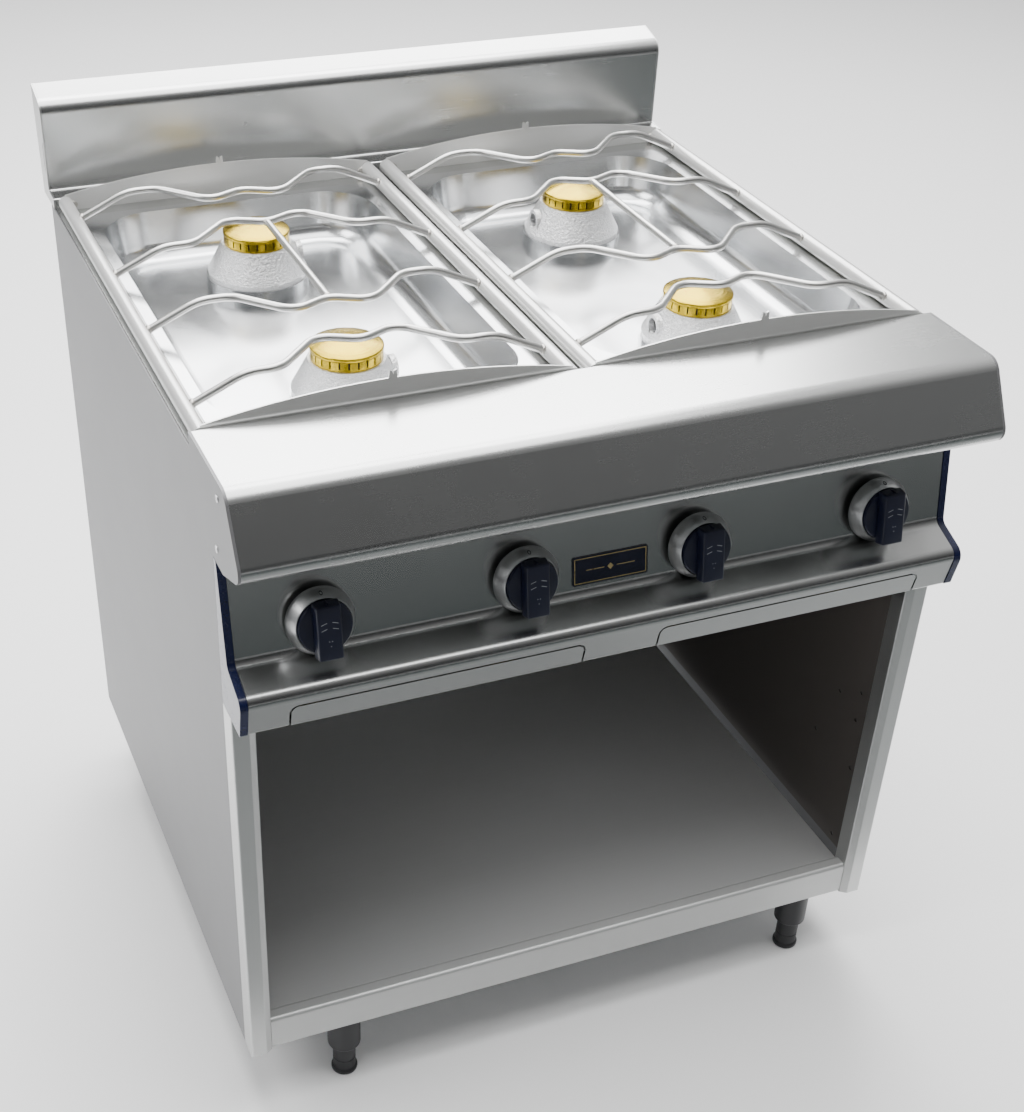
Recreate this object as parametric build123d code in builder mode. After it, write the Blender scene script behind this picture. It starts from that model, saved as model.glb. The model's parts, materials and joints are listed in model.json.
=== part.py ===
"""Gas range: four ring burners, two lift-out wire grates, control panel and open cabinet base.

Millimetres, +Z up, -Y towards the cook. The origin is on the floor under the middle of the range.
Most heights and depths are measured from the hob edge: the line where the front rail's flat top ends
and the hob deck begins. hob(dy, dz) turns such a distance into model coordinates.
"""

from build123d import *
import math
import os

os.makedirs("parts", exist_ok=True)

# ---------------------------------------------------------------- driving sizes
width = 800.0
work_height = 840.0  # floor to the flat top of the front rail
nosing_reach = 152.5  # hob edge to the foremost point of the front rail
hob_depth = 637.0  # hob edge to the splashback face
splash_thickness = 45.0
splash_height = 110.0
leg_height = 94.0  # floor to the underside of the body
sheet = 1.5  # folded steel
clear = 0.5  # gap between pieces that are not in contact

# hob
deck_drop = 16.0  # front rail top to deck
well_depth = 56.0
well_corner = 62.0
well_side_margin = 26.0  # well flange to the edge of its half of the hob
flange_width = 11.0
flange_thick = 1.2
well_front = 14.0  # hob edge to the well flange
well_rear = 59.0  # splashback face to the well flange
ledge_depth = 25.0
ledge_rise = 11.5

# burners
burner_front = 138.0  # hob edge to the front burner's axis
burner_pitch = hob_depth - 321.0  # front axis to rear axis
cone_top_radius = 41.0
cone_foot_radius = 56.5
cone_top_drop = 20.0  # front rail top to the seat of the crown
cone_height = 37.0
cone_wall = 4.0
crown_radius = 37.5
crown_height = 10.0
crown_wall = 6.0
crown_slots = 24
slot_width = 1.8
slot_depth = 7.5
cap_radius = 38.0
cap_rim = 4.5
cap_rise = 7.5
throat_radius = 20.0
throat_wall = 4.0
throat_drop = 33.0
flank_hole = 8.5
flank_boss = 12.5

# grates
rail_radius = 8.0
rail_gap = 9.0  # between the two rails in the middle of the hob
rod_radius = 4.0
rod_rise = 20.0  # front rail top to the axis of the cross rods
rod_end_drop = 4.0
rod_near = 80.0  # burner axis to the flat part of the rod in front of it
rod_far = 90.0  # burner axis to the flat part of the rod behind it
lobe_out = 53.0
lobe_mid = 33.0
lobe_half = 42.0
flat_inner = 92.0
ramp_run = 60.0  # rail axis to the top of the rod's ramp
grate_front = 3.0
grate_rear = 33.0
plate_thick = 2.0
arch_height = 36.0
tab_height = 8.0
tab_width = 9.0

# control panel
knob_outer = 0.385 * width
knob_inner = 0.12 * width
knob_drop = 169.5
knob_radius = 27.0
knob_stand = 19.0  # panel face to the back of the knob's disc
knob_disc = 8.0
grip_height = 13.0
grip_width = 25.0
bezel_radius = 34.5
bezel_height = 23.5
bezel_undercut = 9.0
spindle_radius = 4.0
spindle_fit = 0.05
spindle_push = 3.0
panel_hole = 7.0
trim_width = 8.0
badge_width = 84.0
badge_height = 31.0
badge_drop = 177.0

# crumb trays
tray_width = width / 2 - 94.0
tray_inner = 43.0  # middle of the range to the tray's inner edge
tray_top_drop = 236.5
tray_gap = 2.0
tray_corner = 8.0
tray_length = 430.0
tray_wall = 1.2

# cabinet
post_face = 17.5
post_depth = 26.0
inner_wall_inset = 17.5
shelf_drop = 700.0
fascia_depth = 45.0
foot_left = -0.35 * width
foot_right = width / 2 - 75.0
foot_setback = 62.0  # hob edge to the front feet, towards the cook
foot_spread = hob_depth - 27.0  # front feet to rear feet
sleeve_radius = 19.5
sleeve_height = 50.0
foot_radius = 13.5

# gas train
manifold_radius = 10.65
inlet_radius = 10.48
inlet_thread = 25.0
mixer_radius = 16.0
mixer_drop = 102.0
mixer_length = 120.0
pipe_radius = 4.0

# ---------------------------------------------------------------- derived places
half = width / 2
depth = nosing_reach + hob_depth + splash_thickness
y_edge = -depth / 2 + nosing_reach
y_splash = y_edge + hob_depth
y_rear = depth / 2
y_back = y_splash - 9.0  # outer face of the cabinet's back panel
z_base = leg_height
deck_top = work_height - deck_drop
half_sheet = sheet / 2

sides = (("left", -1), ("right", 1))
grate_x = half / 2
rail_x = grate_x - rail_gap / 2 - rail_radius  # rail axis from the grate's own middle
burner_rows = (("front", burner_front), ("rear", burner_front + burner_pitch))
burners = [(f"{row}_{side}", sign * grate_x, y_edge + dy, sign) for row, dy in burner_rows for side, sign in sides]
knobs = (
    ("far_left", -knob_outer),
    ("mid_left", -knob_inner),
    ("mid_right", knob_inner),
    ("far_right", knob_outer),
)


def hob(dy, dz):
    """A point of a side view, given from the hob edge."""
    return (y_edge + dy, work_height + dz)


def save(builder, node):
    """Label a finished piece and write it."""
    builder.part.label = node
    export_step(builder.part, f"parts/{node}.step")


# ================================================================ cabinet
# Side panels: flat outer skins. The front rail's end cap fills the notch at the upper front corner.
skin_front = -66.0
cap_foot = -94.5
for side, sign in sides:
    with BuildPart() as side_panel:
        with BuildSketch(Plane.YZ.offset(-half if sign < 0 else half - sheet)):
            with BuildLine():
                Polyline(
                    hob(0, -deck_drop - 0.5),
                    (y_back, deck_top - 0.5),
                    (y_back, z_base),
                    (y_edge + skin_front, z_base),
                    hob(skin_front, cap_foot),
                    hob(0, cap_foot),
                    close=True,
                )
            make_face()
        extrude(amount=sheet)
    save(side_panel, f"side_panel_{side}")

# Front posts: a side return, a face and a chamfer folded from one strip.
post_top = work_height - 262.0
post_foot_y = y_edge - 93.0 + half_sheet
for side, sign in sides:
    outer = sign * (half - half_sheet)
    face_end = sign * (half - post_face)
    inner = sign * (half - post_face - 7.5)
    with BuildPart() as post:
        with BuildSketch(Plane.XY.offset(z_base)):
            with BuildLine():
                FilletPolyline(
                    (outer, y_edge + skin_front - clear),
                    (outer, post_foot_y),
                    (face_end, post_foot_y),
                    (inner, post_foot_y + 5),
                    (inner, post_foot_y + post_depth),
                    radius=(2.2, 1.5, 1.5),
                )
            trace(line_width=sheet)
        extrude(amount=post_top - z_base)
    save(post, f"front_post_{side}")

# Inner walls with small holes for shelf runners.
shelf_top = work_height - shelf_drop
wall_front = y_edge - 63.0
wall_x = half - inner_wall_inset
runner_holes = ((-41, -466), (-1, -491), (-41, -507), (-67 + 8, -492), (31, -572), (-49, -575), (-41, -688))
for side, sign in sides:
    with BuildPart() as inner_wall:
        with BuildSketch(Plane.YZ.offset(sign * wall_x - half_sheet)):
            with BuildLine():
                Polyline(
                    (wall_front, shelf_top + clear),
                    (y_back - sheet - clear, shelf_top + clear),
                    (y_back - sheet - clear, deck_top - sheet - clear),
                    (wall_front, deck_top - sheet - clear),
                    close=True,
                )
            make_face()
            with Locations([hob(dy, dz) for dy, dz in runner_holes]):
                Circle(2.4, mode=Mode.SUBTRACT)
        extrude(amount=sheet)
    save(inner_wall, f"inner_wall_{side}")

# Back panel with a way out for the gas pipe.
inlet_x = half - 62.0
inlet_z = work_height - 178.0
with BuildPart() as back_panel:
    with BuildSketch(Plane.XZ.offset(-(y_back - sheet))):
        with Locations((0, (z_base + deck_top - sheet) / 2)):
            Rectangle(width - 2 * sheet - 2 * clear, deck_top - sheet - z_base - clear)
        with Locations((inlet_x, inlet_z)):
            Circle(inlet_radius + 5, mode=Mode.SUBTRACT)
    extrude(amount=-sheet)
save(back_panel, "back_panel")

# Bottom shelf: floor, rounded front lip and fascia folded from one sheet.
shelf_half = half - post_face - 7.5 - 1.0
shelf_step = 5.0
shelf_front = y_edge - 87.0 + half_sheet
with BuildPart() as bottom_shelf:
    with BuildSketch(Plane.YZ.offset(-shelf_half)):
        with BuildLine():
            FilletPolyline(
                (shelf_front + 8, shelf_top - fascia_depth + half_sheet),
                (shelf_front, shelf_top - fascia_depth + half_sheet),
                (shelf_front, shelf_top - half_sheet),
                (shelf_front + 14, shelf_top - half_sheet),
                (shelf_front + 14 + shelf_step, shelf_top - half_sheet - shelf_step),
                (y_back - sheet - clear, shelf_top - half_sheet - shelf_step),
                radius=(2, 4, 3, 3),
            )
        trace(line_width=sheet)
    extrude(amount=2 * shelf_half)
save(bottom_shelf, "bottom_shelf")

# Base frame: four tubes welded into a ring that carries the shelf and the feet.
frame_tube = 30.0
frame_top = shelf_top - shelf_step - sheet - clear
front_feet_y = y_edge - foot_setback
rear_feet_y = front_feet_y + foot_spread
frame_half = shelf_half - 4.0
frame_front = front_feet_y - frame_tube / 2
frame_back = rear_feet_y + frame_tube / 2
with BuildPart() as base_frame:
    with BuildSketch(Plane.XY.offset(z_base)):
        with Locations((0, (frame_front + frame_back) / 2)):
            Rectangle(2 * frame_half, frame_back - frame_front)
            Rectangle(
                2 * (frame_half - frame_tube),
                frame_back - frame_front - 2 * frame_tube,
                mode=Mode.SUBTRACT,
            )
    extrude(amount=frame_top - z_base)
save(base_frame, "base_frame")

# Feet: fixed black sleeves, and lower feet that screw out of them.
feet = [
    (f"{row}_{side}", x, y)
    for row, y in (("front", front_feet_y), ("rear", rear_feet_y))
    for side, x in (("left", foot_left), ("right", foot_right))
]
foot_pin = 8.0
sleeve_foot = z_base - sleeve_height
with BuildPart() as foot_sleeves:
    with BuildSketch(Plane.XY.offset(sleeve_foot)):
        with Locations([(x, y) for _, x, y in feet]):
            Circle(sleeve_radius)
    extrude(amount=sleeve_height)
    fillet(foot_sleeves.edges().group_by(Axis.Z)[0], radius=3)
    with BuildSketch(Plane.XY.offset(sleeve_foot)):
        with Locations([(x, y) for _, x, y in feet]):
            Circle(foot_pin + spindle_fit)
    extrude(amount=sleeve_height - 4, mode=Mode.SUBTRACT)
save(foot_sleeves, "foot_sleeves")

for name, x, y in feet:
    with BuildPart() as foot:
        with BuildSketch(Plane.XY):
            with Locations((x, y)):
                Circle(foot_radius + 2)
        extrude(amount=6)
        with BuildSketch(Plane.XY.offset(6)):
            with Locations((x, y)):
                Circle(foot_radius)
        extrude(amount=sleeve_foot - 6)
        fillet(foot.edges().group_by(Axis.Z)[0], radius=2)
        with BuildSketch(Plane.XY.offset(sleeve_foot)):
            with Locations((x, y)):
                Circle(foot_pin)
        extrude(amount=sleeve_height - 8)
    save(foot, f"foot_{name}")

# ================================================================ hob
well_half_x = grate_x - well_side_margin
well_y0 = y_edge + well_front
well_y1 = y_splash - well_rear
well_mid_y = (well_y0 + well_y1) / 2
opening_x = 2 * (well_half_x - flange_width)
opening_y = (well_y1 - well_y0) - 2 * flange_width
deck_cut = 2.0  # deck opening to well wall

with BuildPart() as hob_deck:
    with BuildSketch(Plane.XY.offset(deck_top - sheet)):
        with Locations((0, (y_edge + y_back - sheet) / 2)):
            Rectangle(width - 2 * sheet - 2 * clear, y_back - sheet - y_edge)
        with Locations(*[(sign * grate_x, well_mid_y) for _, sign in sides]):
            RectangleRounded(
                opening_x + 2 * deck_cut,
                opening_y + 2 * deck_cut,
                well_corner + deck_cut,
                mode=Mode.SUBTRACT,
            )
    extrude(amount=sheet)
save(hob_deck, "hob_deck")

well_floor = deck_top + flange_thick - well_depth
collar_outer = cone_foot_radius + 2.5
collar_inner = cone_foot_radius - 2.5
cone_seat = work_height - cone_top_drop - cone_height  # underside of a burner body
well_taper = 12.0
for side, sign in sides:
    well_x = sign * grate_x
    row_places = [(well_x, y_edge + dy) for _, dy in burner_rows]
    with BuildPart() as well:
        with BuildSketch(Plane.XY.offset(deck_top)):
            with Locations((well_x, well_mid_y)):
                RectangleRounded(2 * well_half_x, well_y1 - well_y0, well_corner * 0.45)
        extrude(amount=flange_thick)
        with BuildSketch(Plane.XY.offset(deck_top + flange_thick)):
            with Locations((well_x, well_mid_y)):
                RectangleRounded(opening_x, opening_y, well_corner)
        extrude(amount=-well_depth, taper=well_taper)
        fillet(well.edges().group_by(Axis.Z)[0], radius=24)
        with BuildSketch(Plane.XY.offset(well_floor)):
            with Locations(row_places):
                Circle(collar_outer)
        extrude(amount=cone_seat - well_floor - 4, taper=0)
        with BuildPart(mode=Mode.SUBTRACT):
            with BuildSketch(Plane.XY.offset(deck_top + flange_thick)):
                with Locations((well_x, well_mid_y)):
                    RectangleRounded(opening_x - 2 * flange_thick, opening_y - 2 * flange_thick, well_corner)
            inside = extrude(amount=-(well_depth - flange_thick), taper=well_taper)
            fillet(inside.edges().group_by(Axis.Z)[0], radius=23)
        with BuildSketch(Plane.XY.offset(well_floor)):
            with Locations(row_places):
                Circle(collar_outer)
        extrude(amount=cone_seat - well_floor)
        with BuildSketch(Plane.XY.offset(well_floor)):
            with Locations(row_places):
                Circle(collar_inner)
        extrude(amount=cone_seat - well_floor, mode=Mode.SUBTRACT)
    save(well, f"drip_well_{side}")

# ---------------------------------------------------------------- front rail and panel
nosing_cap = 3.0
nosing_line = [
    (half_sheet, -deck_drop),
    (half_sheet, -half_sheet),
    (-116.5, -half_sheet),
    (-157.3, -72.0),
    (-99.0, cap_foot + half_sheet),
    (-75.0, cap_foot + half_sheet),
]
nosing_bends = (2.0, 18.5, 13.0, 3.0)
with BuildPart() as nosing:
    with BuildSketch(Plane.YZ.offset(-half + nosing_cap)):
        with BuildLine():
            FilletPolyline(*[hob(dy, dz) for dy, dz in nosing_line], radius=nosing_bends)
        trace(line_width=sheet)
    extrude(amount=width - 2 * nosing_cap)
save(nosing, "front_rail")

cap_outline = [
    (-0.1, 0.0),
    (-117.0, 0.0),
    (-158.4, -72.2),
    (-99.3, cap_foot + 0.1),
    (-0.1, cap_foot + 0.1),
]
screw_places = ((-95.0, -17.5), (-83.0, -76.5))
screw_radius = 2.0
for side, sign in sides:
    with BuildPart() as nosing_end:
        with BuildSketch(Plane.YZ.offset(-half if sign < 0 else half - nosing_cap)):
            with BuildLine():
                FilletPolyline(
                    *[hob(dy, dz) for dy, dz in cap_outline],
                    radius=(1.0, 19.0, 14.0, 3.0, 0.5),
                    close=True,
                )
            make_face()
            with Locations([hob(dy, dz) for dy, dz in screw_places]):
                Circle(screw_radius, mode=Mode.SUBTRACT)
        extrude(amount=nosing_cap)
    save(nosing_end, f"front_rail_end_{side}")

# Pan-head screws that hold the end caps.
screw_head = 4.2
head_height = 1.2
with BuildPart() as cap_screws:
    for _, sign in sides:
        skin = Plane(origin=(sign * half, 0, 0), x_dir=(0, sign, 0), z_dir=(sign, 0, 0))
        spots = [(sign * (y_edge + dy), work_height + dz) for dy, dz in screw_places]
        with BuildSketch(skin.offset(-nosing_cap)):
            with Locations(spots):
                Circle(screw_radius)
        extrude(amount=nosing_cap)
        with BuildSketch(skin.offset(-head_height)):
            with Locations(spots):
                Circle(screw_radius)
        extrude(amount=head_height)
save(cap_screws, "end_screws")

# Control panel: slanted face, ramp, rounded nose and skirt, folded from one sheet.
face_top = (-70.0 + half_sheet, -80.0)
face_foot = (-91.0 + half_sheet, -203.0)
panel_hollow = 12.0
panel_nose = 11.0
ramp_foot = (-133.0 + half_sheet, -219.0)
skirt_foot = (-124.0 + half_sheet, -261.0)
skirt_return = (-108.0, -261.0)
face_run = math.hypot(face_foot[0] - face_top[0], face_foot[1] - face_top[1])
out_y = (face_foot[1] - face_top[1]) / face_run  # outward normal of the slanted face
out_z = -(face_foot[0] - face_top[0]) / face_run
panel_half = half - trim_width - clear
panel_line = (face_top, face_foot, ramp_foot, skirt_foot, skirt_return)


def on_face(x, drop):
    """Plane on the panel's outer face: local z points out, local y up the face."""
    share = (drop + face_top[1]) / (face_top[1] - face_foot[1])
    dy = face_top[0] + share * (face_foot[0] - face_top[0])
    y, z = hob(dy, -drop)
    origin = (x, y + out_y * half_sheet, z + out_z * half_sheet)
    return Plane(origin=origin, x_dir=(1, 0, 0), z_dir=(0, out_y, out_z))


def axis_section(plane):
    """Plane through a knob's axis: local x is radial, local y runs out along the axis."""
    return Plane(origin=plane.origin, x_dir=plane.x_dir, z_dir=-plane.y_dir)


tray_mid = tray_inner + tray_width / 2
with BuildPart() as control_panel:
    with BuildSketch(Plane.YZ.offset(-panel_half)):
        with BuildLine():
            FilletPolyline(*[hob(dy, dz) for dy, dz in panel_line], radius=(panel_hollow, panel_nose, 2.0))
        trace(line_width=sheet)
    extrude(amount=2 * panel_half)
    for _, x in knobs:
        with BuildSketch(on_face(x, knob_drop).offset(-5)):
            Circle(panel_hole)
        extrude(amount=10, mode=Mode.SUBTRACT)
    with BuildSketch(Plane.XZ.offset(-(y_edge - 160))):
        for _, sign in sides:
            with Locations((sign * tray_mid, work_height - tray_top_drop - 30 + tray_gap)):
                RectangleRounded(tray_width + 2 * tray_gap, 60, tray_corner + tray_gap)
    extrude(amount=-70, mode=Mode.SUBTRACT)
save(control_panel, "control_panel")

# Navy end trims follow the panel's profile and stand a little proud of it.
trim_proud = 1.0
trim_outline = [
    (skin_front + clear, cap_foot - clear),
    (face_top[0] - half_sheet - trim_proud - 2.5, cap_foot - clear),
    (face_foot[0] - half_sheet - trim_proud, face_foot[1]),
    (ramp_foot[0] - half_sheet - trim_proud, ramp_foot[1]),
    (skirt_foot[0] - half_sheet - trim_proud, skirt_foot[1] - 0.5),
    (skin_front - clear, skirt_foot[1] - 0.5),
]
for side, sign in sides:
    with BuildPart() as trim:
        with BuildSketch(Plane.YZ.offset(-half if sign < 0 else half - trim_width)):
            with BuildLine():
                FilletPolyline(
                    *[hob(min(dy, skin_front - clear), dz) for dy, dz in trim_outline],
                    radius=(0.5, 0.5, panel_hollow - half_sheet - trim_proud, panel_nose + half_sheet + trim_proud, 2.0, 0.5),
                    close=True,
                )
            make_face()
        extrude(amount=trim_width)
    save(trim, f"panel_trim_{side}")

badge_plane = on_face(0, badge_drop)
with BuildPart() as badge:
    with BuildSketch(badge_plane):
        RectangleRounded(badge_width, badge_height, 2)
    extrude(amount=1.2)
save(badge, "badge_plate")

# ---------------------------------------------------------------- knobs, bezels, spindles, valves
bezel_gap = 0.4  # knob disc to bezel bore
with BuildPart() as bezels:
    for _, x in knobs:
        section = axis_section(on_face(x, knob_drop))
        with BuildSketch(section):
            with BuildLine():
                Polyline(
                    (panel_hole + 6, 0),
                    (bezel_radius - bezel_undercut, 0),
                    (bezel_radius - bezel_undercut, 4.5),
                    (bezel_radius, 7),
                    (bezel_radius, 12),
                    (knob_radius + bezel_gap + 1.2, bezel_height),
                    (knob_radius + bezel_gap, bezel_height),
                    (knob_radius + bezel_gap, knob_stand - 6),
                    (panel_hole + 6, knob_stand - 6),
                    close=True,
                )
            make_face()
        revolve(axis=Axis(section.origin, section.y_dir))
save(bezels, "knob_bezels")

bore_depth = 12.0
for name, x in knobs:
    plane = on_face(x, knob_drop)
    disc_back = plane.offset(knob_stand)
    disc_front = plane.offset(knob_stand + knob_disc)
    grip_front = plane.offset(knob_stand + knob_disc + grip_height)
    with BuildPart() as knob:
        with BuildSketch(disc_back):
            Circle(knob_radius)
        extrude(amount=knob_disc)
        fillet(knob.edges().sort_by(Axis(plane.origin, plane.z_dir))[-1], radius=2)
        with BuildSketch(disc_front):
            Rectangle(grip_width, 2 * knob_radius + 5)
        with BuildSketch(grip_front):
            Rectangle(grip_width - 5, 2 * knob_radius - 1)
        loft()
        with BuildSketch(disc_back):
            Circle(spindle_radius + spindle_fit)
        extrude(amount=bore_depth, mode=Mode.SUBTRACT)
        with BuildSketch(grip_front.offset(-6)):
            with Locations((0, knob_radius - 3)):
                Rectangle(2, 9)
        extrude(amount=8, mode=Mode.SUBTRACT)
    save(knob, f"knob_{name}")

valve_front = 12.0  # panel face to the valve body
valve_length = 40.0
spindle_reach = 24.0
for name, x in knobs:
    plane = on_face(x, knob_drop)
    with BuildPart() as spindle:
        with BuildSketch(plane.offset(-valve_front - spindle_reach)):
            Circle(spindle_radius)
        extrude(amount=valve_front + spindle_reach + knob_stand + bore_depth - spindle_push - 1)
    save(spindle, f"spindle_{name}")

manifold_back = valve_front + valve_length + manifold_radius
with BuildPart() as gas_valves:
    for _, x in knobs:
        plane = on_face(x, knob_drop)
        with BuildSketch(plane.offset(-valve_front)):
            Circle(13)
        extrude(amount=-valve_length)
        with BuildSketch(plane.offset(-valve_front)):
            Circle(spindle_radius + spindle_fit)
        extrude(amount=-(spindle_reach + spindle_push + 2), mode=Mode.SUBTRACT)
save(gas_valves, "gas_valves")

# Manifold runs behind the valves and turns back to the inlet at the rear.
manifold_line = on_face(0, knob_drop).offset(-manifold_back).origin
manifold_end = knob_outer + 24
with BuildPart() as manifold:
    with BuildSketch(Plane.YZ.offset(-manifold_end)):
        with Locations((manifold_line.Y, manifold_line.Z)):
            Circle(manifold_radius)
    extrude(amount=2 * manifold_end)
save(manifold, "gas_manifold")

inlet_end = y_back + 27.0
with BuildPart() as inlet:
    with BuildLine():
        inlet_route = FilletPolyline(
            (inlet_x - 3, manifold_line.Y + manifold_radius, manifold_line.Z),
            (inlet_x - 3, manifold_line.Y + 60, manifold_line.Z),
            (inlet_x, y_back - 60, inlet_z),
            (inlet_x, inlet_end, inlet_z),
            radius=30,
        )
    with BuildSketch(Plane(origin=inlet_route @ 0, z_dir=inlet_route % 0)):
        Circle(inlet_radius - 0.8)
        Circle(inlet_radius - 3, mode=Mode.SUBTRACT)
    sweep()
    with BuildSketch(Plane.XZ.offset(-(inlet_end - inlet_thread))):
        with Locations((inlet_x, inlet_z)):
            Circle(inlet_radius)
            Circle(inlet_radius - 3, mode=Mode.SUBTRACT)
    extrude(amount=-inlet_thread)
save(inlet, "gas_inlet")

# ---------------------------------------------------------------- burners
throat_foot = cone_seat - throat_drop
crown_seat = work_height - cone_top_drop
web = 4.0
for name, x, y, sign in burners:
    with BuildPart() as body:
        with BuildSketch(Plane(origin=(x, y, 0), x_dir=(1, 0, 0), z_dir=(0, -1, 0))):
            with BuildLine():
                Polyline(
                    (throat_radius - throat_wall, throat_foot),
                    (throat_radius, throat_foot),
                    (throat_radius, cone_seat),
                    (cone_foot_radius, cone_seat),
                    (cone_foot_radius + 0.8, cone_seat + 5),
                    (cone_top_radius, crown_seat - 2),
                    (cone_top_radius - 1, crown_seat),
                    (crown_radius - crown_wall, crown_seat),
                    (crown_radius - crown_wall, crown_seat - 4),
                    (cone_top_radius - cone_wall, crown_seat - 6),
                    (cone_foot_radius - cone_wall, cone_seat + web + 3),
                    (cone_foot_radius - cone_wall - 2, cone_seat + web),
                    (throat_radius, cone_seat + web),
                    (throat_radius, crown_seat - 8),
                    (throat_radius - throat_wall, crown_seat - 8),
                    close=True,
                )
            make_face()
        revolve(axis=Axis((x, y, 0), (0, 0, 1)))
        hole_z = cone_seat + cone_height * 0.5
        flank = Plane(origin=(x, y, hole_z), x_dir=(0, -sign, 0), z_dir=(-sign, 0, 0))
        with BuildSketch(flank.offset(cone_foot_radius - cone_wall - 7)):
            Circle(flank_boss)
        extrude(amount=6.5)
        with BuildSketch(flank.offset(throat_radius + 2)):
            Circle(flank_hole)
        extrude(amount=cone_foot_radius, mode=Mode.SUBTRACT)
    save(body, f"burner_body_{name}")

with BuildPart() as crowns:
    for _, x, y, _ in burners:
        with BuildSketch(Plane.XY.offset(crown_seat)):
            with Locations((x, y)):
                Circle(crown_radius)
                Circle(crown_radius - crown_wall, mode=Mode.SUBTRACT)
        extrude(amount=crown_height)
        with BuildSketch(Plane.XY.offset(crown_seat + crown_height - slot_depth)):
            with Locations((x, y)):
                with PolarLocations(crown_radius, crown_slots):
                    Rectangle(4 * crown_wall, slot_width)
        extrude(amount=slot_depth, mode=Mode.SUBTRACT)
save(crowns, "burner_crowns")

cap_seat = crown_seat + crown_height
for name, x, y, _ in burners:
    with BuildPart() as cap:
        with BuildSketch(Plane(origin=(x, y, 0), x_dir=(1, 0, 0), z_dir=(0, -1, 0))):
            with BuildLine():
                Polyline(
                    (0, cap_seat),
                    (crown_radius - crown_wall - 4, cap_seat),
                    (crown_radius - crown_wall - 4, cap_seat - 3),
                    (crown_radius - crown_wall - 1, cap_seat - 3),
                    (crown_radius - crown_wall - 1, cap_seat),
                    (cap_radius - 0.8, cap_seat),
                    (cap_radius, cap_seat + 1),
                    (cap_radius, cap_seat + cap_rim - 1),
                    (cap_radius - 1.2, cap_seat + cap_rim),
                    (0, cap_seat + cap_rim + cap_rise),
                    close=True,
                )
            make_face()
        revolve(axis=Axis((x, y, 0), (0, 0, 1)))
    save(cap, f"burner_cap_{name}")

# Mixing tubes: a socket under each burner and a horizontal tube towards the cook.
mixer_axis = work_height - mixer_drop
socket_top = well_floor - 3.0
socket_floor = 3.0
with BuildPart() as mixers:
    for _, x, y, _ in burners:
        with BuildSketch(Plane.XY.offset(mixer_axis - mixer_radius - socket_floor)):
            with Locations((x, y)):
                Circle(throat_radius + 4)
        extrude(amount=socket_top - (mixer_axis - mixer_radius - socket_floor))
        with BuildSketch(Plane.XZ.offset(-y)):
            with Locations((x, mixer_axis)):
                Circle(mixer_radius)
        extrude(amount=mixer_length)
        with BuildSketch(Plane.XZ.offset(-y)):
            with Locations((x, mixer_axis)):
                Circle(mixer_radius - 3)
        extrude(amount=mixer_length, mode=Mode.SUBTRACT)
        with BuildSketch(Plane.XY.offset(mixer_axis - mixer_radius + 0.5)):
            with Locations((x, y)):
                Circle(throat_radius + 0.1)
        extrude(amount=2 * mixer_radius + 20, mode=Mode.SUBTRACT)
save(mixers, "mixing_tubes")

injector_gap = 8.0
injector_length = 26.0
with BuildPart() as injectors:
    for _, x, y, _ in burners:
        with BuildSketch(Plane.XZ.offset(-(y - mixer_length - injector_gap))):
            with Locations((x, mixer_axis)):
                Circle(4)
        extrude(amount=injector_length)
        with BuildSketch(Plane.XZ.offset(-(y - mixer_length - injector_gap - 8))):
            with Locations((x, mixer_axis)):
                RegularPolygon(9, 6)
        extrude(amount=14)
save(injectors, "injectors")

# Supply pipes from the valves: the outer valves feed the front burners, the middle ones the rear.
valve_out = on_face(0, knob_drop).offset(-valve_front - valve_length / 2).origin
pipe_drop = 22.0
pipe_bend = 12.0
with BuildPart() as supply_pipes:
    for name, x, y, sign in burners:
        pipe_end = y - mixer_length - injector_gap - injector_length
        if name.startswith("front"):
            stops = [
                (sign * knob_outer, valve_out.Y, valve_out.Z + 13),
                (sign * knob_outer, valve_out.Y, mixer_axis),
                (x, valve_out.Y, mixer_axis),
                (x, pipe_end, mixer_axis),
            ]
        else:
            stops = [
                (sign * knob_inner, valve_out.Y, valve_out.Z + 13),
                (sign * knob_inner, valve_out.Y, mixer_axis - pipe_drop),
                (sign * knob_inner, pipe_end - 50, mixer_axis - pipe_drop),
                (x, pipe_end - 50, mixer_axis),
                (x, pipe_end, mixer_axis),
            ]
        with BuildLine():
            route = FilletPolyline(*stops, radius=pipe_bend)
        with BuildSketch(Plane(origin=route @ 0, z_dir=route % 0)):
            Circle(pipe_radius)
        sweep()
save(supply_pipes, "supply_pipes")

# Pilots: small tubes that stand inside each burner body behind the flank hole.
pilot_x = (throat_radius + cone_foot_radius - cone_wall) / 2
with BuildPart() as pilots:
    for _, x, y, sign in burners:
        with BuildSketch(Plane.XY.offset(cone_seat + web)):
            with Locations((x - sign * pilot_x, y + 3)):
                Circle(3)
        extrude(amount=cone_height - web - 15)
        with BuildSketch(Plane.XY.offset(cone_seat + web + 12)):
            with Locations((x - sign * pilot_x, y + 3)):
                Rectangle(4, 9)
        extrude(amount=7)
save(pilots, "pilots")

# ---------------------------------------------------------------- grates
plate_y0 = y_edge + grate_front
plate_y1 = y_splash - grate_rear
rail_z = deck_top + rail_radius + clear
rod_z = work_height + rod_rise
arch_end = rail_z + rail_radius + 1.5
arch_top = deck_top + arch_height


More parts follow.
